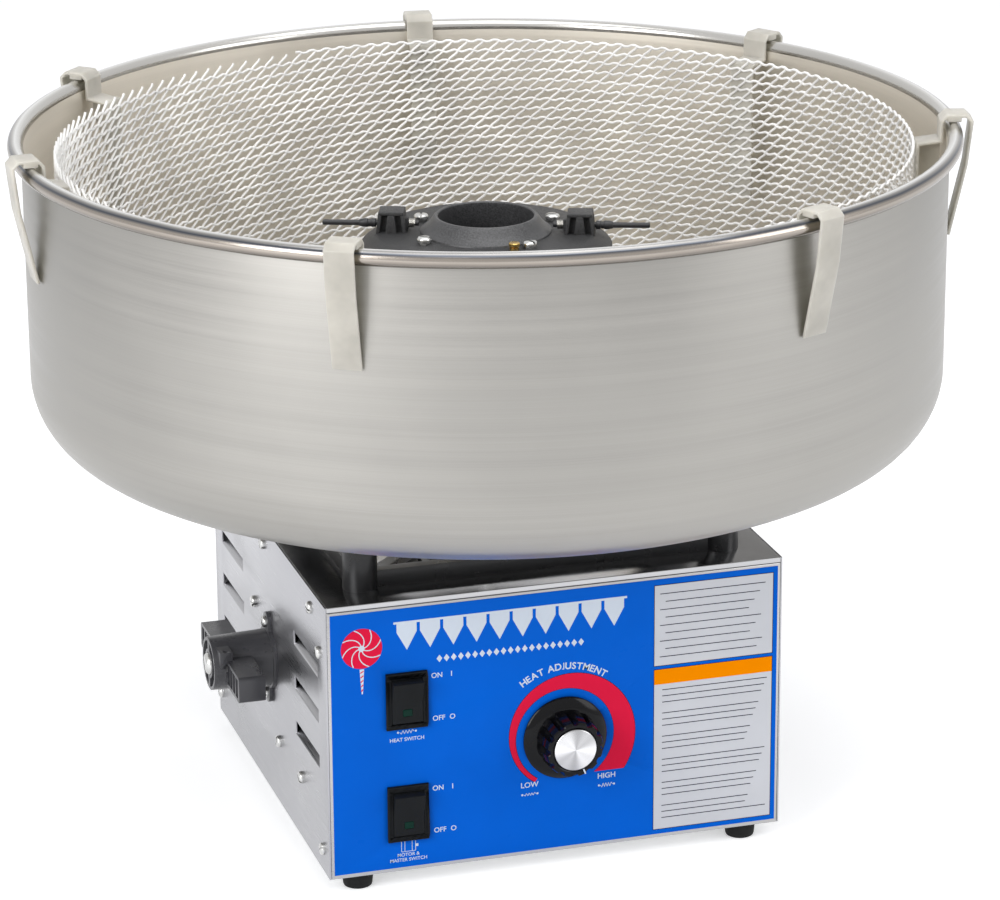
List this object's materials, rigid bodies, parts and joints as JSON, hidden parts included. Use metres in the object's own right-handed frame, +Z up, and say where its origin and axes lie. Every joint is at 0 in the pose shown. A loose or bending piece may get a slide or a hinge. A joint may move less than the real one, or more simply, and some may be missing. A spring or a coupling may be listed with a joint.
{
  "type": "cotton candy machine",
  "caption": "Countertop electric floss machine: square sheet-metal cabinet with front controls, spinning slotted head, wide lift-off bowl with a net held by clips.",
  "frame": {"origin": "on the spinning head's axis at table level, under the middle of the cabinet", "axes": "+Z up along the head's axis, the control panel faces -Y, +X to the user's right"},
  "size_m": [0.6671, 0.6654, 0.499],
  "materials": {
    "cabinet_steel": "brushed stainless sheet",
    "printed_film": "printed panel film",
    "black_rubber": "matt rubber",
    "bright_steel": "bright plated",
    "black_plastic": "moulded black plastic",
    "zinc_steel": "zinc plated",
    "support_black": "satin black",
    "motor_paint": "grey enamel",
    "core_iron": "laminated iron",
    "carbon": "pressed carbon",
    "insulator": "phenolic",
    "brass": "machined",
    "head_black": "hard-coated casting",
    "element_metal": "heat-toned ribbon",
    "rod_black": "black oxide",
    "bowl_aluminium": "spun, fine concentric brushing",
    "white_plastic": "natural white moulding",
    "lens_green": "dark translucent green",
    "knob_silver": "spun cap"
  },
  "bodies": {
    "cabinet": {"side_panel_left": "cabinet_steel", "side_panel_right": "cabinet_steel", "top_deck": "cabinet_steel", "base_pan": "cabinet_steel", "rear_panel": "cabinet_steel", "front_panel": "cabinet_steel", "front_overlay": "printed_film", "foot_front_left": "black_rubber", "foot_front_right": "black_rubber", "foot_back_left": "black_rubber", "foot_back_right": "black_rubber", "fixing_screws": "bright_steel", "lead_gland": "black_plastic", "cord_cleat": "black_plastic", "cleat_bolt": "bright_steel", "heat_switch_body": "black_plastic", "motor_switch_body": "black_plastic", "heat_control": "zinc_steel", "control_nut": "bright_steel", "bowl_support": "support_black", "support_seat": "support_black", "motor_plate": "zinc_steel", "motor_isolators": "black_rubber", "motor_can": "motor_paint", "motor_end_bell": "motor_paint", "motor_stator": "core_iron", "shaft_bearing": "bright_steel", "carbon_brushes": "carbon", "brush_holder": "insulator"},
    "spinner": {"motor_shaft": "bright_steel", "motor_rotor": "core_iron", "slip_ring_hub": "insulator", "slip_rings": "brass", "head_base": "head_black", "head_cover": "head_black", "heating_element": "element_metal", "rod_left": "rod_black", "rod_right": "rod_black", "rod_springs": "bright_steel", "head_screws": "bright_steel", "head_terminal": "brass"},
    "bowl_set": {"bowl": "bowl_aluminium", "bowl_floor": "bowl_aluminium", "bowl_neck": "bowl_aluminium", "net": "white_plastic", "clip_front_right": "white_plastic", "clip_right": "white_plastic", "clip_back_right": "white_plastic", "clip_back": "white_plastic", "clip_back_left": "white_plastic", "clip_left": "white_plastic", "clip_front_left": "white_plastic"},
    "heat_rocker": {"heat_switch_rocker": "black_plastic", "heat_switch_lens": "lens_green"},
    "motor_rocker": {"motor_switch_rocker": "black_plastic", "motor_switch_lens": "lens_green"},
    "heat_knob": {"knob_body": "black_plastic", "knob_cap": "knob_silver", "control_shaft": "bright_steel"}
  },
  "joints": [
    {"name": "head_spin", "type": "hinge", "parent": "cabinet", "child": "spinner", "pos_m": [0, 0, 0.3], "axis": [0, 0, 1], "continuous": true},
    {"name": "bowl_lift", "type": "slide", "parent": "cabinet", "child": "bowl_set", "axis": [0, 0, 1], "range_m": [0, 0.18]},
    {"name": "heat_rock", "type": "hinge", "parent": "cabinet", "child": "heat_rocker", "pos_m": [-0.1076, -0.1636, 0.1385], "axis": [-1, 0, 0], "range_deg": [0, 16]},
    {"name": "motor_rock", "type": "hinge", "parent": "cabinet", "child": "motor_rocker", "pos_m": [-0.1076, -0.1636, 0.0555], "axis": [-1, 0, 0], "range_deg": [0, 16]},
    {"name": "heat_turn", "type": "hinge", "parent": "cabinet", "child": "heat_knob", "pos_m": [0.0048, -0.1636, 0.0976], "axis": [0, -1, 0], "range_deg": [0, 300]}
  ]
}
